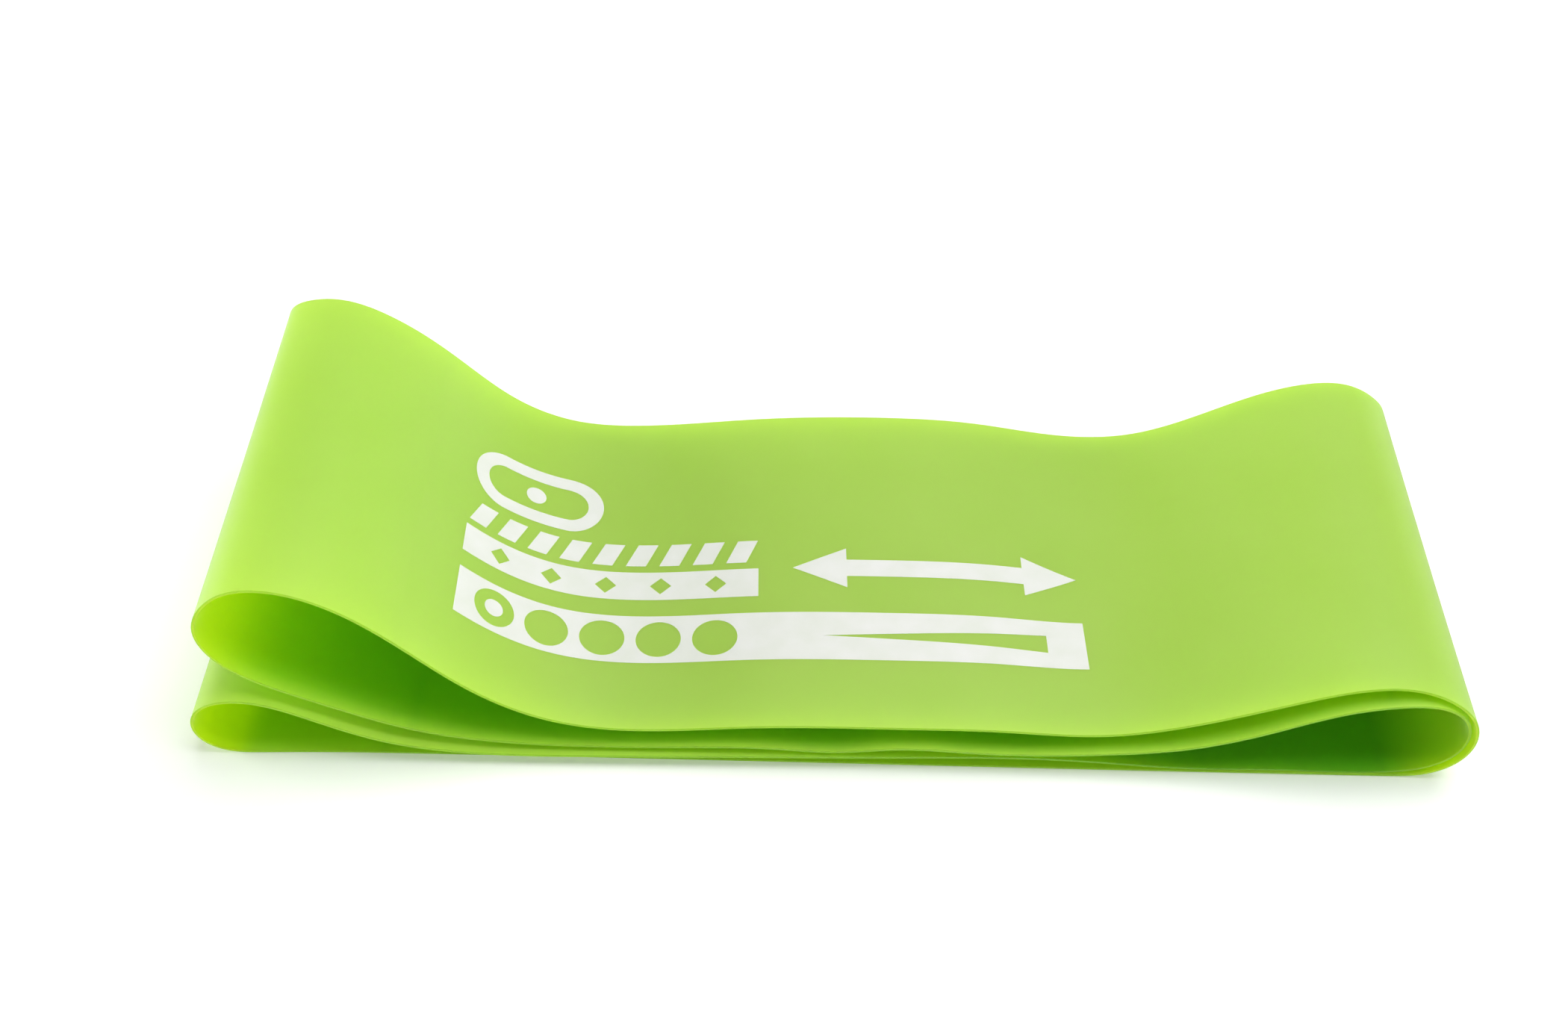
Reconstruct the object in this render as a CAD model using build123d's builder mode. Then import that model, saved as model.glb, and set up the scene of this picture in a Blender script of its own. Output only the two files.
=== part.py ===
"""Loop resistance band: one closed loop of thin latex film, pressed flat and folded once in half.

Every number is in millimetres. +X runs along the folded band, towards its fold. +Y runs across its
width, and +Z is up. The origin is on the table, under the middle of the folded band.

The film passes four times over the table. From the top down these are the top run, the upper inner run,
the lower inner run and the bottom run. The inside of the loop lies between the top run and the upper
inner run, and between the lower inner run and the bottom run. The two loop ends close it on the left,
and on the right the inner fold lies inside the outer fold.
"""

from build123d import *
import os

os.makedirs("parts", exist_ok=True)

# Driving dimensions
BAND_WIDTH = 50.0  # across the film, along Y
FILM = 0.35  # thickness of the film
INK = 0.08  # thickness of the printed ink
PRINT_DEPTH = 40.0  # more than the height of the band, for cutting the print's outlines down through it

# Heights of the film's middle surface where it lies flat
BOTTOM_Z = FILM / 2
INNER_Z = 0.65  # the lower inner run, where it lies on the bottom run

# Directions of the film where it is cut from one named length to the next, as (x, z)
RIGHT = (1, 0)
LEFT = (-1, 0)
DOWN_THE_SLOPE = (1, -0.95)  # the top run, down from the upper loop end
UP_TO_LOOP_END = (-1, 0.32)  # the upper inner run, up to its loop end
OFF_LOOP_END = (1, -0.33)  # the lower inner run, down from its loop end
OFF_FOLD = (-1, -0.17)  # the upper inner run, down from the fold

# The cuts, as points (x, z) on the film's middle surface
TOP_AT_FOLD = (60.4, 14.7)
TOP_AT_LOOP_END = (-46.0, 19.1)
UPPER_INNER_AT_FOLD = (60.4, 12.8)
UPPER_INNER_AT_LOOP_END = (-46.0, 4.9)
LOWER_INNER_AT_FOLD = (62.2, INNER_Z)
LOWER_INNER_AT_LOOP_END = (-49.0, 3.6)
BOTTOM_AT_FOLD = (62.4, BOTTOM_Z)
BOTTOM_AT_LOOP_END = (-50.0, BOTTOM_Z)
LOWER_BEND_START = (-64.0, BOTTOM_Z)  # where the lower loop end leaves the table

# Middle lines (x, z) of each curved length of film, from one cut to the next
TOP_RUN = [
    TOP_AT_LOOP_END,
    (-38.0, 11.0),
    (-31.0, 6.9),
    (-24.0, 5.4),
    (-9.0, 6.1),
    (8.0, 6.4),
    (20.0, 6.2),
    (30.0, 5.8),
    (40.0, 7.9),
    (51.0, 12.2),
    TOP_AT_FOLD,
]
FOLD_OUTER = [
    TOP_AT_FOLD,
    (66.5, 13.3),
    (70.0, 9.9),
    (70.6, 7.0),
    (69.7, 3.6),
    (66.8, 0.9),
    BOTTOM_AT_FOLD,
]
LOWER_LOOP_END = [
    LOWER_BEND_START,
    (-67.6, 0.6),
    (-69.9, 2.3),
    (-70.6, 4.8),
    (-69.3, 7.8),
    (-64.6, 9.6),
    (-57.0, 7.2),
    LOWER_INNER_AT_LOOP_END,
]
LOWER_INNER_RUN = [
    LOWER_INNER_AT_LOOP_END,
    (-41.0, 2.0),
    (-26.0, 1.6),
    (-9.0, 1.8),
    (8.0, 2.0),
    (22.0, 2.1),
    (31.0, 1.5),
    (40.0, 0.7),
    (51.0, INNER_Z),
    LOWER_INNER_AT_FOLD,
]
FOLD_INNER = [
    LOWER_INNER_AT_FOLD,
    (66.6, 1.8),
    (69.1, 4.1),
    (69.9, 7.2),
    (69.1, 10.0),
    (66.8, 12.1),
    (63.4, 13.0),
    UPPER_INNER_AT_FOLD,
]
UPPER_INNER_RUN = [
    UPPER_INNER_AT_FOLD,
    (56.0, 11.7),
    (48.0, 8.0),
    (40.0, 5.0),
    (31.0, 3.6),
    (16.0, 3.2),
    (8.0, 3.5),
    (1.0, 2.7),
    (-6.0, 3.0),
    (-17.0, 2.8),
    (-28.0, 2.6),
    (-38.0, 3.2),
    UPPER_INNER_AT_LOOP_END,
]
UPPER_LOOP_END = [
    UPPER_INNER_AT_LOOP_END,
    (-53.7, 8.2),
    (-58.5, 10.6),
    (-63.0, 13.3),
    (-66.2, 16.9),
    (-67.0, 20.6),
    (-65.6, 24.0),
    (-62.7, 26.4),
    (-59.5, 27.0),
    (-53.0, 25.0),
    TOP_AT_LOOP_END,
]

# The print on the top run, as seen from above
STRIP_X = (-42.4, 29.4)
STRIP_Y = (-15.4, -8.3)
WINDOW_DIAMETER = 5.3
WINDOW_X = (-38.5, -32.9, -26.6, -20.0, -13.4)
LEVEL_DOT_DIAMETER = 2.4
WEDGE_X = (-0.9, 25.0)
WEDGE_HEIGHT = 2.6
BAR_X = (-42.5, -8.4)
BAR_Y = (-5.7, -1.3)
DIAMOND_COUNT = 5
DIAMOND_PITCH = 6.2
DIAMOND_SIDE = 1.8
STROKE_COUNT = 9
STROKE_PITCH = 3.8
STROKE_WIDTH = 2.3
STROKE_HEIGHT = 3.5
STROKE_SLANT = 1.4
STROKE_CENTRE = (-25.4, 1.5)
LOOP_MARK_CENTRE = (-35.0, 9.1)
LOOP_MARK_LENGTH = 15.4
LOOP_MARK_WIDTH = 9.0
LOOP_MARK_LINE = 1.9
LOOP_MARK_DOT = 2.4
ARROW_X = (-4.3, 29.5)
ARROW_Y = -1.3
ARROW_HEAD_LENGTH = 6.4
ARROW_HEAD_WIDTH = 6.2
ARROW_SHAFT_WIDTH = 2.6

SAMPLES_PER_POINT = 3
EVEN = (1, 1)  # both ends of a smooth line leave at the line's own even pace


def beside(points, ways, distance):
    """Points of the line that stays a distance to the left of the smooth line through points."""
    middle = Edge.make_spline(
        [Vector(*point) for point in points],
        tangents=[Vector(*way).normalized() for way in ways],
        scale=False,
    )
    count = SAMPLES_PER_POINT * (len(points) - 1)
    line = []
    for step in range(count + 1):
        place = middle.position_at(step / count)
        way = middle.tangent_at(step / count)
        line.append((place.X - way.Y * distance, place.Y + way.X * distance))
    return line


def film_outline(points, ways, right, left):
    """Fills the current sketch between the lines that run right and left of the middle line."""
    lower = beside(points, ways, -right)
    upper = beside(points, ways, left)
    with BuildLine() as outline:
        Spline(*lower, tangents=ways, tangent_scalars=EVEN)
        Line(lower[-1], upper[-1])
        Spline(*upper, tangents=ways, tangent_scalars=EVEN)
        Line(upper[0], lower[0])
    make_face(outline.edges())


def flat_film(start, end):
    """Fills the current sketch with film that lies on the table from one x to another."""
    with Locations(((start + end) / 2, BOTTOM_Z)):
        Rectangle(abs(end - start), FILM)


def finish(builder, name):
    """Labels one piece and writes its file."""
    builder.part.label = name
    export_step(builder.part, f"parts/{name}.step")


# The film

with BuildPart() as top_run:
    with BuildSketch(Plane.XZ):
        film_outline(TOP_RUN, (DOWN_THE_SLOPE, RIGHT), FILM / 2, FILM / 2)
    extrude(amount=BAND_WIDTH / 2, both=True)
finish(top_run, "top_run")

with BuildPart() as fold_outer:
    with BuildSketch(Plane.XZ):
        film_outline(FOLD_OUTER, (RIGHT, LEFT), FILM / 2, FILM / 2)
    extrude(amount=BAND_WIDTH / 2, both=True)
finish(fold_outer, "fold_outer")

with BuildPart() as bottom_run:
    with BuildSketch(Plane.XZ):
        flat_film(BOTTOM_AT_LOOP_END[0], BOTTOM_AT_FOLD[0])
    extrude(amount=BAND_WIDTH / 2, both=True)
finish(bottom_run, "bottom_run")

with BuildPart() as lower_loop_end:
    with BuildSketch(Plane.XZ):
        flat_film(LOWER_BEND_START[0], BOTTOM_AT_LOOP_END[0])
        film_outline(LOWER_LOOP_END, (LEFT, OFF_LOOP_END), FILM / 2, FILM / 2)
    extrude(amount=BAND_WIDTH / 2, both=True)
finish(lower_loop_end, "lower_loop_end")

with BuildPart() as lower_inner_run:
    with BuildSketch(Plane.XZ):
        film_outline(LOWER_INNER_RUN, (OFF_LOOP_END, RIGHT), FILM / 2, FILM / 2)
    extrude(amount=BAND_WIDTH / 2, both=True)
finish(lower_inner_run, "lower_inner_run")

with BuildPart() as fold_inner:
    with BuildSketch(Plane.XZ):
        film_outline(FOLD_INNER, (RIGHT, OFF_FOLD), FILM / 2, FILM / 2)
    extrude(amount=BAND_WIDTH / 2, both=True)
finish(fold_inner, "fold_inner")

with BuildPart() as upper_inner_run:
    with BuildSketch(Plane.XZ):
        film_outline(UPPER_INNER_RUN, (OFF_FOLD, UP_TO_LOOP_END), FILM / 2, FILM / 2)
    extrude(amount=BAND_WIDTH / 2, both=True)
finish(upper_inner_run, "upper_inner_run")

with BuildPart() as upper_loop_end:
    with BuildSketch(Plane.XZ):
        film_outline(UPPER_LOOP_END, (UP_TO_LOOP_END, DOWN_THE_SLOPE), FILM / 2, FILM / 2)
    extrude(amount=BAND_WIDTH / 2, both=True)
finish(upper_loop_end, "upper_loop_end")

# The print: a thin layer of ink on the top run, cut to each outline from above

with BuildPart() as ink_layer:
    with BuildSketch(Plane.XZ):
        film_outline(TOP_RUN, (DOWN_THE_SLOPE, RIGHT), -FILM / 2, FILM / 2 + INK)
    extrude(amount=BAND_WIDTH / 2, both=True)


def strip_between(x_range, y_range):
    """A rectangle from one x to another and one y to another, in the current sketch."""
    with Locations(((x_range[0] + x_range[1]) / 2, (y_range[0] + y_range[1]) / 2)):
        Rectangle(x_range[1] - x_range[0], y_range[1] - y_range[0])


strip_y = (STRIP_Y[0] + STRIP_Y[1]) / 2
bar_centre = ((BAR_X[0] + BAR_X[1]) / 2, (BAR_Y[0] + BAR_Y[1]) / 2)

with BuildPart() as print_level_strip:
    add(ink_layer.part)
    with BuildSketch(Plane.XY):
        strip_between(STRIP_X, STRIP_Y)
        with Locations([(x, strip_y) for x in WINDOW_X]):
            Circle(WINDOW_DIAMETER / 2, mode=Mode.SUBTRACT)
        with Locations((WINDOW_X[0], strip_y)):
            Circle(LEVEL_DOT_DIAMETER / 2)
        with BuildLine():
            Polyline(
                (WEDGE_X[0], strip_y),
                (WEDGE_X[1], strip_y - WEDGE_HEIGHT / 2),
                (WEDGE_X[1], strip_y + WEDGE_HEIGHT / 2),
                close=True,
            )
        make_face(mode=Mode.SUBTRACT)
    extrude(amount=PRINT_DEPTH, mode=Mode.INTERSECT)
finish(print_level_strip, "print_level_strip")

with BuildPart() as print_diamond_bar:
    add(ink_layer.part)
    with BuildSketch(Plane.XY):
        strip_between(BAR_X, BAR_Y)
        with Locations(bar_centre):
            with GridLocations(DIAMOND_PITCH, 0, DIAMOND_COUNT, 1):
                Rectangle(DIAMOND_SIDE, DIAMOND_SIDE, rotation=45, mode=Mode.SUBTRACT)
    extrude(amount=PRINT_DEPTH, mode=Mode.INTERSECT)
finish(print_diamond_bar, "print_diamond_bar")

with BuildPart() as print_strokes:
    add(ink_layer.part)
    with BuildSketch(Plane.XY):
        with Locations(STROKE_CENTRE):
            with GridLocations(STROKE_PITCH, 0, STROKE_COUNT, 1):
                Polygon(
                    (-STROKE_WIDTH / 2 - STROKE_SLANT / 2, -STROKE_HEIGHT / 2),
                    (STROKE_WIDTH / 2 - STROKE_SLANT / 2, -STROKE_HEIGHT / 2),
                    (STROKE_WIDTH / 2 + STROKE_SLANT / 2, STROKE_HEIGHT / 2),
                    (-STROKE_WIDTH / 2 + STROKE_SLANT / 2, STROKE_HEIGHT / 2),
                )
    extrude(amount=PRINT_DEPTH, mode=Mode.INTERSECT)
finish(print_strokes, "print_strokes")

with BuildPart() as print_loop_mark:
    add(ink_layer.part)
    with BuildSketch(Plane.XY):
        with Locations(LOOP_MARK_CENTRE):
            SlotOverall(LOOP_MARK_LENGTH, LOOP_MARK_WIDTH)
            SlotOverall(
                LOOP_MARK_LENGTH - 2 * LOOP_MARK_LINE,
                LOOP_MARK_WIDTH - 2 * LOOP_MARK_LINE,
                mode=Mode.SUBTRACT,
            )
            Circle(LOOP_MARK_DOT / 2)
    extrude(amount=PRINT_DEPTH, mode=Mode.INTERSECT)
finish(print_loop_mark, "print_loop_mark")

with BuildPart() as print_stretch_arrow:
    add(ink_layer.part)
    with BuildSketch(Plane.XY):
        strip_between(
            (ARROW_X[0] + ARROW_HEAD_LENGTH, ARROW_X[1] - ARROW_HEAD_LENGTH),
            (ARROW_Y - ARROW_SHAFT_WIDTH / 2, ARROW_Y + ARROW_SHAFT_WIDTH / 2),
        )
        for tip, inward in ((ARROW_X[0], 1), (ARROW_X[1], -1)):
            with BuildLine():
                Polyline(
                    (tip, ARROW_Y),
                    (tip + inward * ARROW_HEAD_LENGTH, ARROW_Y - ARROW_HEAD_WIDTH / 2),
                    (tip + inward * ARROW_HEAD_LENGTH, ARROW_Y + ARROW_HEAD_WIDTH / 2),
                    close=True,
                )
            make_face()
    extrude(amount=PRINT_DEPTH, mode=Mode.INTERSECT)
finish(print_stretch_arrow, "print_stretch_arrow")
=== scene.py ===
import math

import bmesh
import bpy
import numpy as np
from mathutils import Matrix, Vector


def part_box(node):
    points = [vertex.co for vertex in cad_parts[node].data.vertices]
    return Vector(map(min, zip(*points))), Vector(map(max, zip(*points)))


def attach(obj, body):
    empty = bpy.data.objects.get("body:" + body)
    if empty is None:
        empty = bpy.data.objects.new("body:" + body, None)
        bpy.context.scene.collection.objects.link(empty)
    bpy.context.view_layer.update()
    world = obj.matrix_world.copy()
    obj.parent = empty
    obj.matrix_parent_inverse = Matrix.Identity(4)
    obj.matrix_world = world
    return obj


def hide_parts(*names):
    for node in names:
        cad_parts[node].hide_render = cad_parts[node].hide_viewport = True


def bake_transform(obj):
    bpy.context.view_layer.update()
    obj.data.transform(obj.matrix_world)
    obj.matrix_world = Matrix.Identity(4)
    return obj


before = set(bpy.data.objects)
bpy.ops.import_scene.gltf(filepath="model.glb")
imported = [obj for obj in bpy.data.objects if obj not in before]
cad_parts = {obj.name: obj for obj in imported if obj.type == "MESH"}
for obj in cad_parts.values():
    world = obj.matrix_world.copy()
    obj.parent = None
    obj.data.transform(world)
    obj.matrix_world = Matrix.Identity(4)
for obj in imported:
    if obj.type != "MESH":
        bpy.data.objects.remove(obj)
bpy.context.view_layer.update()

# Loop resistance band: one closed loop of thin latex film, pressed flat and folded once in half, with a
# white print on its top run. The film is made here as one closed surface that is cut into the pieces
# that the frame's bodies move. Lengths named with _MM and the points of the film's line are in
# millimetres, in the frame's own axes: +X to the fold, +Y to the rear, +Z up.

MM = 0.001

# The film's size, from the frame
TABLE_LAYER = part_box("bottom_run")
FRONT_Y_MM = TABLE_LAYER[0].y / MM
REAR_Y_MM = TABLE_LAYER[1].y / MM
BAND_WIDTH_MM = REAR_Y_MM - FRONT_Y_MM
FILM_MM = (TABLE_LAYER[1].z - TABLE_LAYER[0].z) / MM
ON_TABLE = FILM_MM / 2  # height of the film's middle surface where it lies on the table

# How finely the film is divided, and the small rounding of its cut edges
STATION_STEP_MM = 0.6
COLUMN_COUNT = 26
EDGE_ROUNDING_MM = 0.06

# The film's middle line as (x, z, rear_x, rear_z): a point of the front edge, and how far the rear edge
# lies from it. Each length starts at the point where the one before it ends.
TOP_RUN = [
    (-46.0, 19.1, -2.0, -2.0),
    (-38.0, 11.0, -1.9, -1.9),
    (-31.0, 6.9, -1.6, -1.2),
    (-24.0, 5.4, -1.4, -0.3),
    (-9.0, 6.1, -1.3, 0.4),
    (8.0, 6.4, -1.3, 0.8),
    (20.0, 6.2, -1.2, 0.2),
    (30.0, 5.8, -1.2, -1.1),
    (40.0, 7.9, -1.0, -2.8),
    (51.0, 12.2, -1.2, -2.2),
]
OUTER_FOLD_UPPER = [
    (60.4, 14.7, -1.8, -0.9),
    (66.5, 13.3, -1.6, 0.7),
    (70.0, 9.9, -1.0, 1.6),
]
OUTER_FOLD_LOWER = [
    (70.6, 7.0, -0.3, 2.1),
    (69.7, 3.6, -0.6, 1.0),
    (66.8, 0.9, -1.2, 0.2),
]
BOTTOM_RUN = [
    (62.4, ON_TABLE, -1.5, 0.0),
    (57.0, ON_TABLE, -1.2, 0.0),
    (45.0, ON_TABLE, -0.8, 0.0),
    (15.0, ON_TABLE, -0.3, 0.0),
    (-20.0, ON_TABLE, 0.0, 0.0),
    (-40.0, ON_TABLE, 0.0, 0.0),
]
LOWER_LOOP_END = [
    (-50.0, ON_TABLE, 0.0, 0.0),
    (-58.0, ON_TABLE, 0.0, 0.0),
    (-64.0, ON_TABLE, 0.0, 0.0),
    (-67.6, 0.6, 0.0, 0.0),
    (-69.9, 2.3, 0.0, 0.0),
    (-70.6, 4.8, 0.0, 0.0),
    (-69.3, 7.8, 0.0, 0.0),
    (-64.6, 9.6, 0.0, -0.2),
    (-57.0, 7.2, 0.0, -0.4),
]
LOWER_INNER_RUN = [
    (-49.0, 3.6, 0.0, -0.5),
    (-41.0, 2.0, 0.0, -0.4),
    (-26.0, 1.6, 0.0, -0.2),
    (-9.0, 1.8, 0.0, 0.0),
    (8.0, 2.0, 0.0, 0.0),
    (22.0, 2.1, 0.0, 0.0),
    (31.0, 1.5, 0.0, 0.0),
    (40.0, 0.7, -0.3, 0.0),
    (51.0, 0.65, -0.9, 0.0),
]
INNER_FOLD_LOWER = [
    (62.2, 0.65, -1.2, 0.0),
    (66.6, 1.8, -1.0, 0.3),
    (69.1, 4.1, -0.5, 1.0),
]
INNER_FOLD_UPPER = [
    (69.9, 7.2, -0.3, 1.4),
    (69.1, 10.0, -0.8, 1.0),
    (66.8, 12.1, -1.0, 0.6),
    (63.4, 13.0, -1.1, -0.3),
]
UPPER_INNER_RUN = [
    (60.4, 12.8, -1.0, -0.8),
    (56.0, 11.7, -1.0, -1.2),
    (48.0, 8.0, -1.0, -1.7),
    (40.0, 5.0, -0.8, -1.3),
    (31.0, 3.6, 0.0, -0.7),
    (16.0, 3.2, 0.0, 0.0),
    (8.0, 3.5, 0.0, 0.0),
    (1.0, 2.7, 0.0, 0.3),
    (-6.0, 3.0, 0.0, 0.0),
    (-17.0, 2.8, 0.0, 0.0),
    (-28.0, 2.6, 0.0, 0.0),
    (-38.0, 3.2, 0.0, 0.0),
]
UPPER_LOOP_END = [
    (-46.0, 4.9, 0.0, 0.0),
    (-53.7, 8.2, 0.0, 0.0),
    (-58.5, 10.6, 0.0, 0.0),
    (-63.0, 13.3, 0.0, 0.0),
    (-66.2, 16.9, 0.0, 0.0),
    (-67.0, 20.6, -0.1, -0.3),
    (-65.6, 24.0, -1.1, -0.7),
    (-62.7, 26.4, -1.8, -1.5),
    (-59.5, 27.0, -1.8, -1.7),
    (-53.0, 25.0, -2.0, -2.0),
]

# The loop in order, with its outer, printed side on the left of the way round
LENGTHS = {
    "top_run": TOP_RUN,
    "outer_fold_upper": OUTER_FOLD_UPPER,
    "outer_fold_lower": OUTER_FOLD_LOWER,
    "bottom_run": BOTTOM_RUN,
    "lower_loop_end": LOWER_LOOP_END,
    "lower_inner_run": LOWER_INNER_RUN,
    "inner_fold_lower": INNER_FOLD_LOWER,
    "inner_fold_upper": INNER_FOLD_UPPER,
    "upper_inner_run": UPPER_INNER_RUN,
    "upper_loop_end": UPPER_LOOP_END,
}

# How far the front edge of the film stands forward at the start of each length, because the layers of a
# folded band are never quite flush
FORWARD_MM = {
    "top_run": 0.0,
    "outer_fold_upper": 0.0,
    "outer_fold_lower": 0.9,
    "bottom_run": 0.3,
    "lower_loop_end": -0.2,
    "lower_inner_run": 1.0,
    "inner_fold_lower": 0.2,
    "inner_fold_upper": 0.5,
    "upper_inner_run": 1.0,
    "upper_loop_end": 0.2,
}

# How far the outer face is kept out of painted shade at the start of each length: 1 where it has lain open
# to the air and keeps the film's pale green, and 0 where it has lain folded in and is painted the deeper
# green of shade
UNSHADED = {
    "top_run": 1.0,
    "outer_fold_upper": 1.0,
    "outer_fold_lower": 1.0,
    "bottom_run": 1.0,
    "lower_loop_end": 1.0,
    "lower_inner_run": 1.0,
    "inner_fold_lower": 0.0,
    "inner_fold_upper": 0.0,
    "upper_inner_run": 0.0,
    "upper_loop_end": 1.0,
}
EDGE_LIGHT_MM = 2.6  # width of the pale margin of painted light along each cut edge of the inner face
FOLDED_IN_SHADE = 0.3  # how much the painted lime glow in the bends is dimmed where the film has lain folded in, in painted shade
TIGHT_RADIUS_MM = 6.0  # the painted lime glow, standing for light that comes through the film, is strongest where it is bent as tightly as this
BEND_WINDOW = 9  # how many stations a bend is averaged over

# The cuts of each fold, from the table up, and the lengths that follow its lower and its upper half
FOLD_CUTS = {
    "outer": ("bottom_run", "outer_fold_lower", "outer_fold_upper"),
    "inner": ("inner_fold_lower", "inner_fold_upper", "upper_inner_run"),
}
AFTER_HALVES = {
    "outer": ("bottom_run", "outer_fold_lower"),
    "inner": ("inner_fold_upper", "upper_inner_run"),
}

# The print, in millimetres of flat film: u runs along the top run from x = 0, and y across it
STRIP_U = (-45.0, 29.5)
STRIP_Y = (-15.4, -8.3)
WINDOW_DIAMETER = 5.3
WINDOW_U = (-39.8, -33.2, -26.6, -20.0, -13.4)
LEVEL_DOT_DIAMETER = 2.4
WEDGE_U = (-0.9, 25.0)
WEDGE_HEIGHT = 2.6
BAR_U = (-45.0, -8.4)
BAR_Y = (-5.7, -1.3)
DIAMOND_COUNT = 5
DIAMOND_PITCH = 6.6
DIAMOND_HALF = 1.3
STROKE_COUNT = 9
STROKE_PITCH = 4.05
STROKE_WIDTH = 2.4
STROKE_HEIGHT = 3.5
STROKE_SLANT = 1.4
STROKE_CENTRE = (-26.6, 1.5)
LOOP_MARK_CENTRE = (-36.3, 9.1)
LOOP_MARK_LENGTH = 17.2
LOOP_MARK_WIDTH = 9.0
LOOP_MARK_LINE = 1.9
LOOP_MARK_DOT = 2.6
ARROW_U = (-4.3, 29.5)
ARROW_Y = -1.3
ARROW_HEAD_LENGTH = 6.4
ARROW_HEAD_WIDTH = 6.2
ARROW_SHAFT_WIDTH = 2.6
INK_PROUD_MM = 0.03  # how far the ink stands out of the film, and how far it sinks in
INK_STEP_MM = 0.8  # width of the strips that the ink is cut into, so that it can bend
CIRCLE_POINTS = 48
WELD_MM = 1e-4
CUT_TOLERANCE_MM = 1e-5


# --- The film's line ---


def closed_slopes(spans, points):
    """Slopes at the points of the smoothest closed curve through them; spans are the steps between them."""
    count = len(points)
    before = np.roll(spans, 1)
    rise = (np.roll(points, -1, axis=0) - points) / spans[:, None]
    matrix = np.zeros((count, count))
    for i in range(count):
        matrix[i, i - 1] = spans[i]
        matrix[i, i] = 2 * (before[i] + spans[i])
        matrix[i, (i + 1) % count] = before[i]
    right = 3 * (spans[:, None] * np.roll(rise, 1, axis=0) + before[:, None] * rise)
    return np.linalg.solve(matrix, right)


def curve_piece(start, end, slope_start, slope_end, span, steps):
    """Points and directions along one step of the curve, its last point left to the next step."""
    part = (np.arange(steps) / steps)[:, None]
    rise = end - start
    a = span * slope_start
    b = span * slope_end
    cubic = a + b - 2 * rise
    square = 3 * rise - 2 * a - b
    places = start + part * (a + part * (square + part * cubic))
    ways = a + part * (2 * square + part * 3 * cubic)
    return places, ways


def film_line():
    """The whole loop as stations: both edges, their directions, and the station where each length starts."""
    points = np.array([point for length in LENGTHS.values() for point in length], float)
    front = points[:, :2]
    spans = np.linalg.norm(np.roll(front, -1, axis=0) - front, axis=1)
    slopes = closed_slopes(spans, points)
    places, ways, first = [], [], []
    for i, span in enumerate(spans):
        after = (i + 1) % len(points)
        steps = max(2, round(span / STATION_STEP_MM))
        first.append(sum(len(block) for block in places))
        some = curve_piece(points[i], points[after], slopes[i], slopes[after], span, steps)
        places.append(some[0])
        ways.append(some[1])
    places = np.concatenate(places)
    ways = np.concatenate(ways)
    front_edge = places[:, :2].copy()
    rear_edge = places[:, :2] + places[:, 2:]
    front_edge[:, 1] = np.maximum(front_edge[:, 1], ON_TABLE)
    rear_edge[:, 1] = np.maximum(rear_edge[:, 1], ON_TABLE)
    starts, at = {}, 0
    for name, length in LENGTHS.items():
        starts[name] = first[at]
        at += len(length)
    return front_edge, rear_edge, ways[:, :2], ways[:, :2] + ways[:, 2:], starts


FRONT_EDGE, REAR_EDGE, FRONT_WAY, REAR_WAY, STARTS = film_line()
STATIONS = len(FRONT_EDGE)


def eased(share):
    """A share from 0 to 1 with a soft start and end."""
    share = np.clip(share, 0.0, 1.0)
    return share * share * (3 - 2 * share)


def station_values(at_starts):
    """A value at each station, easing from the start of one length to the start of the next."""
    cuts = [*STARTS.values(), STATIONS]
    values = np.array([*at_starts.values(), at_starts["top_run"], at_starts["top_run"]])
    steps = np.interp(np.arange(STATIONS), cuts, np.arange(len(cuts)))
    low = np.floor(steps).astype(int)
    part = eased(steps - low)
    return values[low] * (1 - part) + values[low + 1] * part


FORWARD = station_values(FORWARD_MM)
OUTER_UNSHADED = station_values(UNSHADED)
MIDDLE = (FRONT_EDGE + REAR_EDGE) / 2
STEPS = np.linalg.norm(np.roll(MIDDLE, -1, axis=0) - MIDDLE, axis=1)
ALONG = np.concatenate([[0.0], np.cumsum(STEPS)])  # length of film from the start of the top run


def bend_line():
    """How tightly each station is bent, where 1 is the tight radius: above 0 where the film bulges out."""
    way = np.roll(MIDDLE, -1, axis=0) - MIDDLE
    heading = np.arctan2(way[:, 1], way[:, 0])
    turn = np.angle(np.exp(1j * np.diff(heading)))
    turn = np.append(turn, turn[-1])  # the last station turns as the one before it does
    window = np.ones(BEND_WINDOW)
    wrapped = np.concatenate([turn[-BEND_WINDOW:], turn, turn[:BEND_WINDOW]])
    lengths = np.concatenate([STEPS[-BEND_WINDOW:], STEPS, STEPS[:BEND_WINDOW]])
    bent = np.convolve(wrapped, window, "same") / np.convolve(lengths, window, "same")
    return -TIGHT_RADIUS_MM * bent[BEND_WINDOW:-BEND_WINDOW]


BEND = bend_line()


def film_surface(station, y):
    """Middle surface and outward normal, in millimetres, at a station, whole or not, and a y."""
    low = int(math.floor(station))
    share = station - low
    low, high = low % STATIONS, (low + 1) % STATIONS
    across = (y - FRONT_Y_MM) / BAND_WIDTH_MM
    front = FRONT_EDGE[low] * (1 - share) + FRONT_EDGE[high] * share
    rear = REAR_EDGE[low] * (1 - share) + REAR_EDGE[high] * share
    front_way = FRONT_WAY[low] * (1 - share) + FRONT_WAY[high] * share
    rear_way = REAR_WAY[low] * (1 - share) + REAR_WAY[high] * share
    place = front * (1 - across) + rear * across
    way = front_way * (1 - across) + rear_way * across
    along = np.array([way[0], 0.0, way[1]])
    sideways = np.array([rear[0] - front[0], BAND_WIDTH_MM, rear[1] - front[1]])
    normal = np.cross(along, sideways)
    normal /= np.linalg.norm(normal)
    forward = FORWARD[low] * (1 - share) + FORWARD[high] * share
    return np.array([place[0], y - forward * (1 - across), place[1]]), normal


# --- Meshes ---


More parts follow.
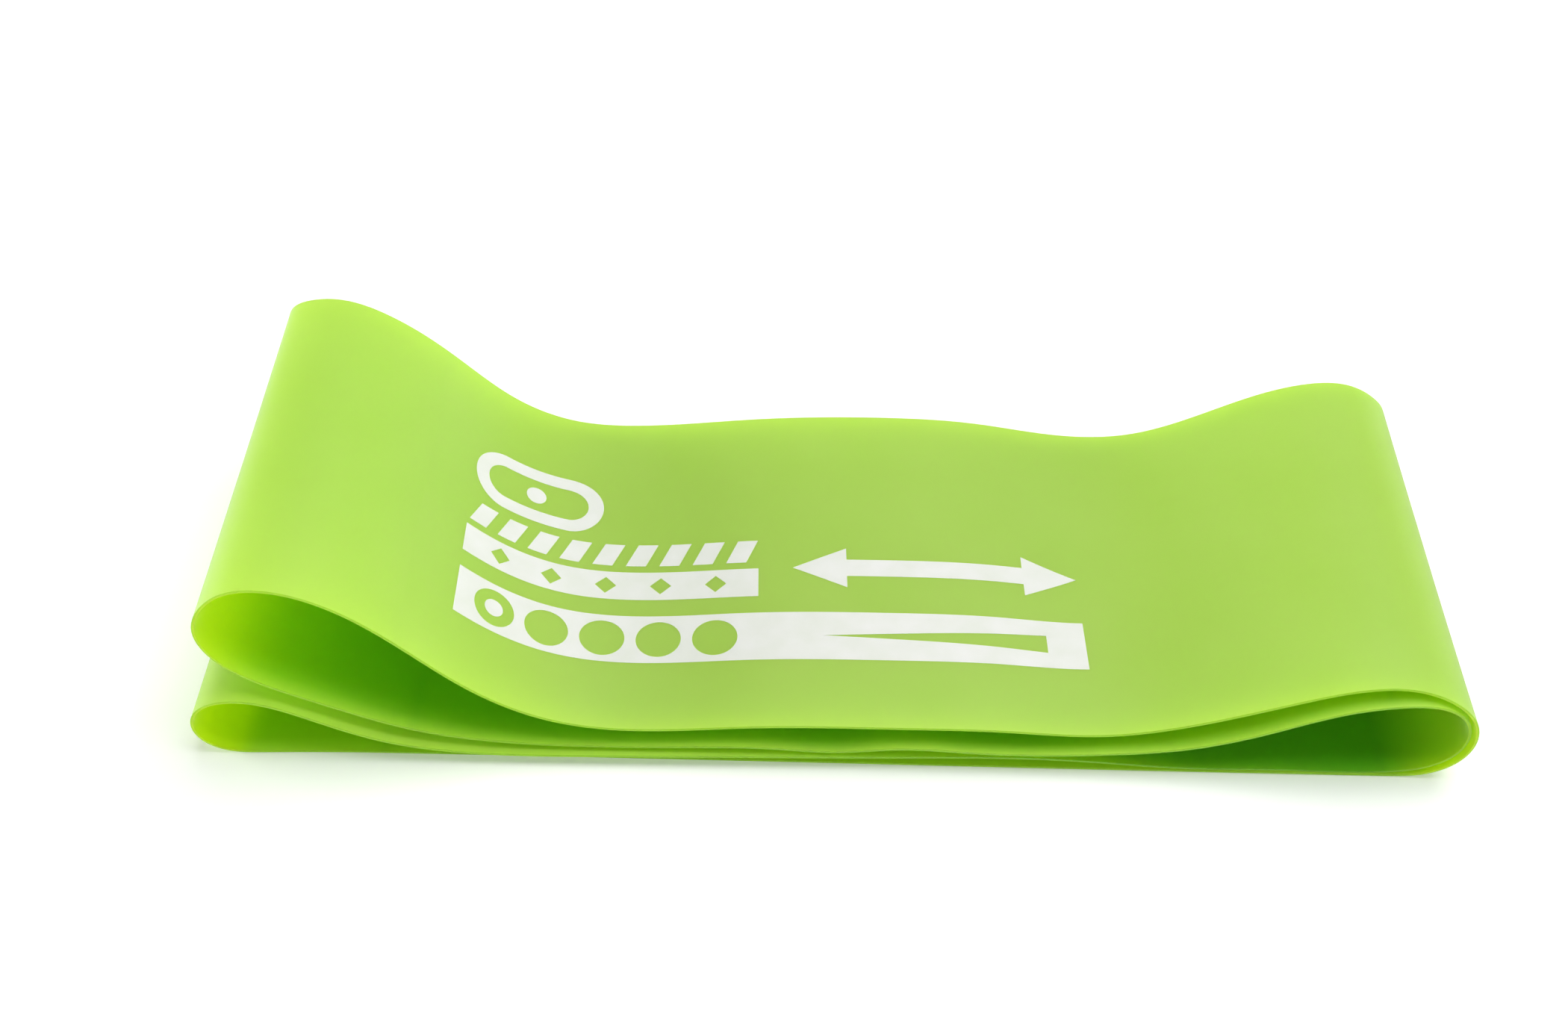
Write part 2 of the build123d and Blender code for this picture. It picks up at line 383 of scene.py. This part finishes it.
def rungs():
    """Where the film's section has a point above and one below: y, and half the thickness there."""
    inset = EDGE_ROUNDING_MM
    half = FILM_MM / 2
    columns = np.linspace(FRONT_Y_MM + inset, REAR_Y_MM - inset, COLUMN_COUNT)
    edge = [(FRONT_Y_MM, half - inset)]
    return edge + [(y, half) for y in columns] + [(REAR_Y_MM, half - inset)]


def film_mesh(name, begin, end):
    """A closed strip of film from one station to another, with its flat coordinates as a UV map."""
    section = rungs()
    width = len(section)
    count = end - begin + 1
    places, normals, flat, unshaded, bend_glow = [], [], [], [], []
    for side in (1, -1):
        for station in range(begin, end + 1):
            # Painted shade and light: outer faces that lie folded in, and the inner face away from its cut
            # edges, take the deeper green of shade, and tight bends take a painted lime glow
            outer_unshaded = OUTER_UNSHADED[station % STATIONS]
            bend_glow_here = eased(-side * BEND[station % STATIONS]) ** 2
            bend_glow_here *= 1 - FOLDED_IN_SHADE * (1 - outer_unshaded)
            for k, (y, half) in enumerate(section):
                to_edge = min(y - FRONT_Y_MM, REAR_Y_MM - y)
                unshaded.append(outer_unshaded if side > 0 else max(0.0, 1 - to_edge / EDGE_LIGHT_MM))
                bend_glow.append(bend_glow_here)
                place, normal = film_surface(station, y)
                places.append((place + side * half * normal) * MM)
                at_edge = k in (0, width - 1)
                normals.append((0, math.copysign(1, y), 0) if at_edge else side * normal)
                flat.append((ALONG[station] * MM, y * MM + (0 if side > 0 else BAND_WIDTH_MM * MM)))

    def outer(station, k):
        return station * width + k

    def inner(station, k):
        return (count + station) * width + k

    faces, cuts = [], []
    for i in range(count - 1):
        for k in range(width - 1):
            faces.append((outer(i, k), outer(i + 1, k), outer(i + 1, k + 1), outer(i, k + 1)))
            faces.append((inner(i, k), inner(i, k + 1), inner(i + 1, k + 1), inner(i + 1, k)))
        faces.append((outer(i, 0), inner(i, 0), inner(i + 1, 0), outer(i + 1, 0)))
        last = width - 1
        faces.append((outer(i, last), outer(i + 1, last), inner(i + 1, last), inner(i, last)))
    for k in range(width - 1):
        cuts.append((outer(0, k), outer(0, k + 1), inner(0, k + 1), inner(0, k)))
        last = count - 1
        cuts.append((outer(last, k), inner(last, k), inner(last, k + 1), outer(last, k + 1)))
    mesh = bpy.data.meshes.new(name)
    mesh.from_pydata(places, [], faces + cuts)
    mesh.shade_smooth()
    mesh.attributes.new("unshaded", "FLOAT", "POINT").data.foreach_set("value", unshaded)
    mesh.attributes.new("bend_glow", "FLOAT", "POINT").data.foreach_set("value", bend_glow)
    finish_mesh(mesh, normals, flat, len(faces))
    return mesh


def finish_mesh(mesh, normals, flat, smooth_faces):
    """Sets flat coordinates, materials and normals; the faces past smooth_faces are the flat cuts."""
    layer = mesh.uv_layers.new(name="flat_film")
    corner_normals = []
    for polygon in mesh.polygons:
        is_cut = polygon.index >= smooth_faces
        corners = list(polygon.loop_indices)
        ys = [mesh.vertices[mesh.loops[c].vertex_index].co.y for c in corners]
        on_edge = max(ys) - min(ys) < EDGE_ROUNDING_MM * 2 * MM
        is_inside = all(mesh.loops[c].vertex_index >= len(normals) // 2 for c in corners)
        if not is_cut:
            face = INNER_FACE if is_inside else OUTER_FACE
            polygon.material_index = EDGE_FACE if on_edge else face
        for corner in corners:
            vertex = mesh.loops[corner].vertex_index
            layer.data[corner].uv = flat[vertex]
            corner_normals.append(polygon.normal if is_cut else normals[vertex])
    mesh.normals_split_custom_set([tuple(normal) for normal in corner_normals])


def new_object(name, mesh, *materials):
    """A new object in the scene, with its materials."""
    made = bpy.data.objects.new(name, mesh)
    bpy.context.scene.collection.objects.link(made)
    for material in materials:
        mesh.materials.append(material)
    return made


# --- Materials ---

# The film's own pale green; on the inner face it is also painted light along the cut edges
PALE_FILM_GREEN = (0.66, 0.96, 0.14)
PALE_FILM_GREEN_LOW = (0.63, 0.94, 0.12)
# Painted shade: the deeper green of faces that lie folded in, and of the inner face away from its edges
SHADED_GREEN = (0.11, 0.55, 0.003)
SHADED_GREEN_LOW = (0.095, 0.53, 0.003)
CUT_GREEN = (0.44, 0.80, 0.03)
CUT_GREEN_LOW = (0.41, 0.78, 0.03)
# Painted glow: the lime of light coming through the film, laid on the inner side of tight bends
LIME_BEND_GLOW = (0.82, 0.98, 0.005)
LIME_GLOW = (0.80, 0.98, 0.01)  # the light that comes through the film

# How much of the film's colour is light that comes through it
OUTER_GLOW_SHARE = 0.42
INNER_GLOW_SHARE = 0.54
EDGE_GLOW_SHARE = 0.5

# The film's patterns, in metres, and its finish
ALONG_THE_BAND = (0.15, 1, 1)  # scale of the streaks' coordinates, which draws them out along the band
CLOUD = {"size": 0.012, "detail": 3}
STREAK = {"size": 0.0016, "detail": 2}
GRAIN = {"size": 0.0005, "detail": 4}
FILM_ROUGHNESS = (0.46, 0.56)
FILM_IOR = 1.5
FILM_SPECULAR = 1.0
FILM_SHEEN = 0.6
FILM_SHEEN_ROUGHNESS = 0.35
FILM_BUMP_DEPTH = 0.00002
STREAK_BUMP = 0.25
GRAIN_BUMP = 0.35

# The ink's colours, patterns and finish
INK_THIN = (0.82, 0.85, 0.77)
INK_FULL = (0.88, 0.89, 0.85)
INK_PATCH = {"size": 0.004, "detail": 4}
INK_GRAIN = {"size": 0.0003, "detail": 3}
INK_ROUGHNESS = (0.42, 0.55)
INK_BUMP_DEPTH = 0.00001
INK_BUMP = 0.3

NOISE_RANGE = (0.3, 0.7)  # the part of the noise's values that a pattern uses
OUTER_FACE, INNER_FACE, EDGE_FACE = range(3)  # the order of the film's materials


def new_material(name):
    """An empty node material and its output."""
    material = bpy.data.materials.new(name)
    material.use_nodes = True
    material.node_tree.nodes.clear()
    output = material.node_tree.nodes.new("ShaderNodeOutputMaterial")
    return material, material.node_tree, output


def flat_coordinates(tree, stretch=(1, 1, 1)):
    """The film's flat coordinates in metres, stretched so that a pattern can run along the band."""
    uv = tree.nodes.new("ShaderNodeUVMap")
    uv.uv_map = "flat_film"
    mapping = tree.nodes.new("ShaderNodeMapping")
    mapping.inputs["Scale"].default_value = stretch
    tree.links.new(uv.outputs["UV"], mapping.inputs["Vector"])
    return mapping.outputs["Vector"]


def noise(tree, vector, size, detail):
    """Smooth noise from 0 to 1 whose features are about size metres across."""
    made = tree.nodes.new("ShaderNodeTexNoise")
    made.inputs["Scale"].default_value = 1 / size
    made.inputs["Detail"].default_value = detail
    tree.links.new(vector, made.inputs["Vector"])
    return made.outputs["Fac"]


def spread(tree, value, low, high):
    """Noise mapped from NOISE_RANGE to low and high."""
    made = tree.nodes.new("ShaderNodeMapRange")
    made.inputs["From Min"].default_value = NOISE_RANGE[0]
    made.inputs["From Max"].default_value = NOISE_RANGE[1]
    made.inputs["To Min"].default_value = low
    made.inputs["To Max"].default_value = high
    tree.links.new(value, made.inputs["Value"])
    return made.outputs["Result"]


def mixed_colour(tree, factor, first, second):
    """A colour between first and second; each is a colour or a socket."""
    made = tree.nodes.new("ShaderNodeMix")
    made.data_type = "RGBA"
    sockets = [socket for socket in made.inputs if socket.type == "RGBA"]
    for socket, colour in zip(sockets, (first, second)):
        if isinstance(colour, tuple):
            socket.default_value = (*colour, 1)
        else:
            tree.links.new(colour, socket)
    tree.links.new(factor, made.inputs["Factor"])
    return next(socket for socket in made.outputs if socket.type == "RGBA")


def bump(tree, height, depth, strength, normal=None):
    """A bumped normal, depth metres deep."""
    made = tree.nodes.new("ShaderNodeBump")
    made.inputs["Strength"].default_value = strength
    made.inputs["Distance"].default_value = depth
    tree.links.new(height, made.inputs["Height"])
    if normal is not None:
        tree.links.new(normal, made.inputs["Normal"])
    return made.outputs["Normal"]


def film_value(tree, name):
    """One of the film's values that paint light and shade: how far it is out of the painted shade, or how
    strong its painted lime glow in a bend is.
    """
    made = tree.nodes.new("ShaderNodeAttribute")
    made.attribute_name = name
    return made.outputs["Fac"]


def latex(name, pale_green, pale_green_low, glow_share):
    """Matte coloured latex that lets some light through: mottled tone, faint streaks, painted shade where it
    lies folded in or inside the loop, and a painted lime glow in tight bends.
    """
    material, tree, output = new_material(name)
    lengthwise = flat_coordinates(tree, ALONG_THE_BAND)
    even = flat_coordinates(tree)
    cloud = spread(tree, noise(tree, even, **CLOUD), 0, 1)
    streak = spread(tree, noise(tree, lengthwise, **STREAK), 0, 1)
    grain = noise(tree, even, **GRAIN)
    pale = mixed_colour(tree, cloud, pale_green_low, pale_green)
    # Painted shade: the deeper green where the film lies folded in or inside the loop; painted glow: lime in
    # tight bends
    deep = mixed_colour(tree, cloud, SHADED_GREEN_LOW, SHADED_GREEN)
    unshaded_or_shaded = mixed_colour(tree, film_value(tree, "unshaded"), deep, pale)
    colour = mixed_colour(tree, film_value(tree, "bend_glow"), unshaded_or_shaded, LIME_BEND_GLOW)
    shader = tree.nodes.new("ShaderNodeBsdfPrincipled")
    tree.links.new(colour, shader.inputs["Base Color"])
    tree.links.new(spread(tree, grain, *FILM_ROUGHNESS), shader.inputs["Roughness"])
    shader.inputs["IOR"].default_value = FILM_IOR
    shader.inputs["Specular IOR Level"].default_value = FILM_SPECULAR
    shader.inputs["Sheen Weight"].default_value = FILM_SHEEN
    shader.inputs["Sheen Roughness"].default_value = FILM_SHEEN_ROUGHNESS
    streaked = bump(tree, streak, FILM_BUMP_DEPTH, STREAK_BUMP)
    normal = bump(tree, grain, FILM_BUMP_DEPTH, GRAIN_BUMP, streaked)
    tree.links.new(normal, shader.inputs["Normal"])
    through = tree.nodes.new("ShaderNodeBsdfTranslucent")
    through.inputs["Color"].default_value = (*LIME_GLOW, 1)
    mix = tree.nodes.new("ShaderNodeMixShader")
    mix.inputs["Fac"].default_value = glow_share
    tree.links.new(shader.outputs["BSDF"], mix.inputs[1])
    tree.links.new(through.outputs["BSDF"], mix.inputs[2])
    tree.links.new(mix.outputs["Shader"], output.inputs["Surface"])
    return material


def white_ink():
    """Flat white screen ink: slightly uneven in cover, with the latex just showing in its thin spots."""
    material, tree, output = new_material("white_screen_ink")
    even = flat_coordinates(tree)
    patch = spread(tree, noise(tree, even, **INK_PATCH), 0, 1)
    grain = noise(tree, even, **INK_GRAIN)
    colour = mixed_colour(tree, patch, INK_THIN, INK_FULL)
    shader = tree.nodes.new("ShaderNodeBsdfPrincipled")
    tree.links.new(colour, shader.inputs["Base Color"])
    tree.links.new(spread(tree, grain, *INK_ROUGHNESS), shader.inputs["Roughness"])
    tree.links.new(bump(tree, grain, INK_BUMP_DEPTH, INK_BUMP), shader.inputs["Normal"])
    tree.links.new(shader.outputs["BSDF"], output.inputs["Surface"])
    return material


LATEX = (
    latex("latex_surface", PALE_FILM_GREEN, PALE_FILM_GREEN_LOW, OUTER_GLOW_SHARE),
    latex("latex_inside", PALE_FILM_GREEN, PALE_FILM_GREEN_LOW, INNER_GLOW_SHARE),
    latex("latex_cut_edge", CUT_GREEN, CUT_GREEN_LOW, EDGE_GLOW_SHARE),
)
INK = white_ink()


# --- The print's outlines, in flat film ---


def rectangle(u_range, y_range):
    """Corners of a rectangle."""
    (u0, u1), (y0, y1) = u_range, y_range
    return [(u0, y0), (u1, y0), (u1, y1), (u0, y1)]


def circle(centre, diameter):
    """Points round a circle."""
    turns = [2 * math.pi * i / CIRCLE_POINTS for i in range(CIRCLE_POINTS)]
    radius = diameter / 2
    return [(centre[0] + radius * math.cos(a), centre[1] + radius * math.sin(a)) for a in turns]


def stadium(centre, length, width):
    """A rectangle with round ends."""
    radius = width / 2
    reach = length / 2 - radius
    outline = []
    for i in range(CIRCLE_POINTS):
        angle = 2 * math.pi * i / CIRCLE_POINTS
        side = math.copysign(reach, math.cos(angle))
        outline.append((centre[0] + side + radius * math.cos(angle), centre[1] + radius * math.sin(angle)))
    return outline


def diamond(centre, half):
    """A square standing on its corner."""
    u, y = centre
    return [(u - half, y), (u, y - half), (u + half, y), (u, y + half)]


def row(centre, pitch, count):
    """Evenly spaced points in a row along u."""
    return [(centre[0] + (i - (count - 1) / 2) * pitch, centre[1]) for i in range(count)]


def level_strip():
    """The level strip: round windows, the first with a dot in it, and a long thin wedge, all knocked out."""
    middle = sum(STRIP_Y) / 2
    windows = [circle((u, middle), WINDOW_DIAMETER) for u in WINDOW_U]
    dot = circle((WINDOW_U[0], middle), LEVEL_DOT_DIAMETER)
    tip, end = WEDGE_U
    wedge = [(tip, middle), (end, middle - WEDGE_HEIGHT / 2), (end, middle + WEDGE_HEIGHT / 2)]
    return [rectangle(STRIP_U, STRIP_Y), *windows, dot, wedge]


def diamond_bar():
    """A bar with a row of small diamonds knocked out."""
    centre = (sum(BAR_U) / 2, sum(BAR_Y) / 2)
    places = row(centre, DIAMOND_PITCH, DIAMOND_COUNT)
    return [rectangle(BAR_U, BAR_Y)] + [diamond(place, DIAMOND_HALF) for place in places]


def strokes():
    """A row of slanted strokes."""
    made = []
    for u, y in row(STROKE_CENTRE, STROKE_PITCH, STROKE_COUNT):
        left, right = u - STROKE_WIDTH / 2, u + STROKE_WIDTH / 2
        low, high = y - STROKE_HEIGHT / 2, y + STROKE_HEIGHT / 2
        lean = STROKE_SLANT / 2
        made.append([(left - lean, low), (right - lean, low), (right + lean, high), (left + lean, high)])
    return made


def loop_mark():
    """A loop seen from the side, with a dot in it."""
    inner = (LOOP_MARK_LENGTH - 2 * LOOP_MARK_LINE, LOOP_MARK_WIDTH - 2 * LOOP_MARK_LINE)
    return [
        stadium(LOOP_MARK_CENTRE, LOOP_MARK_LENGTH, LOOP_MARK_WIDTH),
        stadium(LOOP_MARK_CENTRE, *inner),
        circle(LOOP_MARK_CENTRE, LOOP_MARK_DOT),
    ]


def stretch_arrow():
    """An arrow with a head at each end."""
    left, right = ARROW_U
    neck_left, neck_right = left + ARROW_HEAD_LENGTH, right - ARROW_HEAD_LENGTH
    low, high = ARROW_Y - ARROW_HEAD_WIDTH / 2, ARROW_Y + ARROW_HEAD_WIDTH / 2
    below, above = ARROW_Y - ARROW_SHAFT_WIDTH / 2, ARROW_Y + ARROW_SHAFT_WIDTH / 2
    return [[
        (left, ARROW_Y), (neck_left, low), (neck_left, below), (neck_right, below), (neck_right, low),
        (right, ARROW_Y), (neck_right, high), (neck_right, above), (neck_left, above), (neck_left, high),
    ]]


def filled(outlines):
    """A flat mesh of the outlines with their holes, cut into narrow strips so that it can bend."""
    curve = bpy.data.curves.new("outline", "CURVE")
    curve.dimensions = "2D"
    curve.fill_mode = "BOTH"
    for outline in outlines:
        spline = curve.splines.new("POLY")
        spline.points.add(len(outline) - 1)
        for point, (u, y) in zip(spline.points, outline):
            point.co = (u, y, 0, 1)
        spline.use_cyclic_u = True
    holder = bpy.data.objects.new("outline", curve)
    mesh = bpy.data.meshes.new_from_object(holder)
    bpy.data.objects.remove(holder)
    bpy.data.curves.remove(curve)
    made = bmesh.new()
    made.from_mesh(mesh)
    bpy.data.meshes.remove(mesh)
    bmesh.ops.remove_doubles(made, verts=made.verts, dist=WELD_MM)
    left = min(v.co.x for v in made.verts)
    right = max(v.co.x for v in made.verts)
    for i in range(1, int((right - left) / INK_STEP_MM) + 1):
        everything = made.verts[:] + made.edges[:] + made.faces[:]
        cut = {"plane_co": (left + i * INK_STEP_MM, 0, 0), "plane_no": (1, 0, 0)}
        bmesh.ops.bisect_plane(made, geom=everything, dist=CUT_TOLERANCE_MM, **cut)
    made.verts.index_update()
    points = [(v.co.x, v.co.y) for v in made.verts]
    faces = []
    for f in made.faces:
        order = [v.index for v in f.verts]
        faces.append(order if f.normal.z > 0 else order[::-1])
    made.free()
    return points, faces


def ink_mesh(name, outlines):
    """A thin closed layer of ink on the top run, half sunk in the film."""
    points, faces = filled(outlines)
    end = STARTS["outer_fold_upper"]
    at_zero = np.interp(0.0, MIDDLE[: end + 1, 0], ALONG[: end + 1])
    count = len(points)
    places, flat, normals = [], [], []
    for side in (1, -1):
        for u, y in points:
            station = np.interp(at_zero + u, ALONG[: end + 1], np.arange(end + 1))
            place, normal = film_surface(station, y)
            places.append((place + (FILM_MM / 2 + side * INK_PROUD_MM) * normal) * MM)
            normals.append(side * normal)
            flat.append((u * MM, y * MM))
    loose = {}  # the edges that only one face uses, which need a wall down to the lower side
    for face in faces:
        for a, b in zip(face, face[1:] + face[:1]):
            if (b, a) in loose:
                del loose[(b, a)]
            else:
                loose[(a, b)] = True
    below = [[count + i for i in reversed(face)] for face in faces]
    walls = [(b, a, count + a, count + b) for a, b in loose]
    mesh = bpy.data.meshes.new(name)
    mesh.from_pydata(places, [], faces + below + walls)
    mesh.shade_smooth()
    layer = mesh.uv_layers.new(name="flat_film")
    corner_normals = []
    for polygon in mesh.polygons:
        for corner in polygon.loop_indices:
            vertex = mesh.loops[corner].vertex_index
            layer.data[corner].uv = flat[vertex]
            is_wall = polygon.index >= 2 * len(faces)
            corner_normals.append(tuple(polygon.normal if is_wall else normals[vertex]))
    mesh.normals_split_custom_set(corner_normals)
    return mesh


# --- The pieces ---


def film_piece(name, first, after, node):
    """One length of film as a sheet that stands for its CAD node, whose part it hides."""
    begin = STARTS[first]
    end = STARTS.get(after, STATIONS)
    piece = new_object(name, film_mesh(name, begin, end), *LATEX)
    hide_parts(node)
    return piece


def ink_piece(name, outlines, node):
    """One part of the print, bending with the top run."""
    piece = new_object(name, ink_mesh(name, outlines), INK)
    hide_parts(node)
    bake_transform(piece)


def build_film():
    """The ten lengths of film; the two loop ends go on their bodies, and the other lengths are left
    unparented.
    """
    top = film_piece("top_run_film", "top_run", "outer_fold_upper", "top_run")
    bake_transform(top)
    bottom = film_piece("bottom_film", "bottom_run", "lower_loop_end", "bottom_run")
    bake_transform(bottom)
    lower = film_piece("lower_inner_film", "lower_inner_run", "inner_fold_lower", "lower_inner_run")
    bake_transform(lower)
    upper = film_piece("upper_inner_film", "upper_inner_run", "upper_loop_end", "upper_inner_run")
    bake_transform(upper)
    big_end = film_piece("upper_loop_end_film", "upper_loop_end", None, "upper_loop_end")
    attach(big_end, "upper_end")
    after = "lower_inner_run"
    small_end = film_piece("lower_loop_end_film", "lower_loop_end", after, "lower_loop_end")
    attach(small_end, "lower_end")
    for side, cuts in FOLD_CUTS.items():
        after_lower, after_upper = AFTER_HALVES[side]
        node = f"fold_{side}"
        low = film_piece(f"{node}_lower_film", f"{side}_fold_lower", after_lower, node)
        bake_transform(low)
        high = film_piece(f"{node}_upper_film", f"{side}_fold_upper", after_upper, node)
        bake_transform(high)


def build_print():
    """The five parts of the print."""
    ink_piece("level_strip_ink", level_strip(), "print_level_strip")
    ink_piece("diamond_bar_ink", diamond_bar(), "print_diamond_bar")
    ink_piece("strokes_ink", strokes(), "print_strokes")
    ink_piece("loop_mark_ink", loop_mark(), "print_loop_mark")
    ink_piece("stretch_arrow_ink", stretch_arrow(), "print_stretch_arrow")


# --- Floor, light and camera ---

HORIZON_STRENGTH = 0.12
OVERHEAD_STRENGTH = 0.30
OVERHEAD_NARROWING = 2  # power of the height in the room, which keeps its brightness overhead
FLOOR_GLOW = (0.22, 0.74)  # the floor's own brightness near the band, and past the lights' reach
FLOOR_GLOW_REACH = (0.25, 1.1)  # how far from the band each of them holds, in metres
FLOOR_RADIUS = 6.0
FLOOR_FLAT_RADIUS = 4.0
FLOOR_RIM_HEIGHT = 0.8
FLOOR_SEGMENTS = 96
FLOOR_RINGS = 9
FLOOR_DROP = 0.0001  # how far the floor lies under the band
FLOOR_WHITE = (0.93, 0.93, 0.93)
FLOOR_ROUGHNESS = 0.9
FLOOR_SPECULAR = 0.1

# The soft lights, which face the band: place, size in metres and power in watts
SOFTBOXES = {
    "softbox_above": ((0.30, 0.05, 0.95), 0.7, 8.4),
    "softbox_left": ((-1.9, 0.3, 0.35), 0.9, 23.0),
    "softbox_right": ((1.9, 0.3, 0.35), 0.9, 4.5),
}

CAMERA_PLACE = (-0.00169, -0.15124, 0.16650)
CAMERA_TILT_DEGREES = 44.95
CAMERA_TURN_DEGREES = 1.39
CAMERA_LENS_MM = 42.21
CAMERA_SENSOR_MM = 36
CAMERA_NEAREST = 0.01


def floor_glow(tree):
    """A brightness that grows away from the band, so that the floor stays pale past the lights' reach."""
    place = tree.nodes.new("ShaderNodeNewGeometry")
    distance = tree.nodes.new("ShaderNodeVectorMath")
    distance.operation = "LENGTH"
    glow = tree.nodes.new("ShaderNodeMapRange")
    glow.inputs["From Min"].default_value, glow.inputs["From Max"].default_value = FLOOR_GLOW_REACH
    glow.inputs["To Min"].default_value, glow.inputs["To Max"].default_value = FLOOR_GLOW
    tree.links.new(place.outputs["Position"], distance.inputs[0])
    tree.links.new(distance.outputs["Value"], glow.inputs["Value"])
    return glow.outputs["Result"]


def floor_mesh():
    """A wide round floor, flat in the middle, which sweeps up past the horizon at its rim."""
    points, faces = [], [tuple(range(FLOOR_SEGMENTS))]
    for ring in range(FLOOR_RINGS):
        share = ring / (FLOOR_RINGS - 1)
        radius = FLOOR_FLAT_RADIUS + share * (FLOOR_RADIUS - FLOOR_FLAT_RADIUS)
        for i in range(FLOOR_SEGMENTS):
            turn = 2 * math.pi * i / FLOOR_SEGMENTS
            points.append((radius * math.cos(turn), radius * math.sin(turn), FLOOR_RIM_HEIGHT * share ** 2))
    for ring in range(1, FLOOR_RINGS):
        low, high = (ring - 1) * FLOOR_SEGMENTS, ring * FLOOR_SEGMENTS
        for i in range(FLOOR_SEGMENTS):
            after = (i + 1) % FLOOR_SEGMENTS
            faces.append((low + i, high + i, high + after, low + after))
    mesh = bpy.data.meshes.new("floor")
    mesh.from_pydata(points, [], faces)
    mesh.shade_smooth()
    return mesh


def build_floor():
    """A pale floor just under the band."""
    material, tree, output = new_material("floor_white")
    shader = tree.nodes.new("ShaderNodeBsdfPrincipled")
    shader.inputs["Base Color"].default_value = (*FLOOR_WHITE, 1)
    shader.inputs["Roughness"].default_value = FLOOR_ROUGHNESS
    shader.inputs["Specular IOR Level"].default_value = FLOOR_SPECULAR
    shader.inputs["Emission Color"].default_value = (1, 1, 1, 1)
    tree.links.new(floor_glow(tree), shader.inputs["Emission Strength"])
    tree.links.new(shader.outputs["BSDF"], output.inputs["Surface"])
    floor = new_object("floor", floor_mesh(), material)
    floor.location.z = -FLOOR_DROP


def area_light(name, place, size, power):
    """A square soft light that faces the band."""
    light = bpy.data.lights.new(name, "AREA")
    light.shape = "SQUARE"
    light.size = size
    light.energy = power
    made = bpy.data.objects.new(name, light)
    bpy.context.scene.collection.objects.link(made)
    made.location = place
    direction = -Vector(place)
    made.rotation_euler = direction.to_track_quat("-Z", "Y").to_euler()


def build_light():
    """A white room that is brighter overhead than at the horizon, and three soft lights."""
    world = bpy.data.worlds.new("studio")
    world.use_nodes = True
    tree = world.node_tree
    background = tree.nodes["Background"]
    background.inputs["Color"].default_value = (1, 1, 1, 1)
    direction = tree.nodes.new("ShaderNodeTexCoord")
    split = tree.nodes.new("ShaderNodeSeparateXYZ")
    steeper = tree.nodes.new("ShaderNodeMath")
    steeper.operation = "POWER"
    steeper.inputs[1].default_value = OVERHEAD_NARROWING
    height = tree.nodes.new("ShaderNodeMapRange")
    height.inputs["To Min"].default_value = HORIZON_STRENGTH
    height.inputs["To Max"].default_value = OVERHEAD_STRENGTH
    tree.links.new(direction.outputs["Generated"], split.inputs["Vector"])
    tree.links.new(split.outputs["Z"], steeper.inputs[0])
    tree.links.new(steeper.outputs["Value"], height.inputs["Value"])
    tree.links.new(height.outputs["Result"], background.inputs["Strength"])
    bpy.context.scene.world = world
    for name, (place, size, power) in SOFTBOXES.items():
        area_light(name, place, size, power)


def build_camera():
    """The camera: above and in front of the band, looking down at it."""
    camera = bpy.data.cameras.new("camera")
    camera.sensor_width = CAMERA_SENSOR_MM
    camera.lens = CAMERA_LENS_MM
    camera.clip_start = CAMERA_NEAREST
    made = bpy.data.objects.new("camera", camera)
    bpy.context.scene.collection.objects.link(made)
    made.location = CAMERA_PLACE
    made.rotation_euler = (math.radians(CAMERA_TILT_DEGREES), 0, math.radians(CAMERA_TURN_DEGREES))
    bpy.context.scene.camera = made


build_film()
build_print()
build_floor()
build_light()
build_camera()
bpy.context.scene.view_settings.view_transform = "Standard"
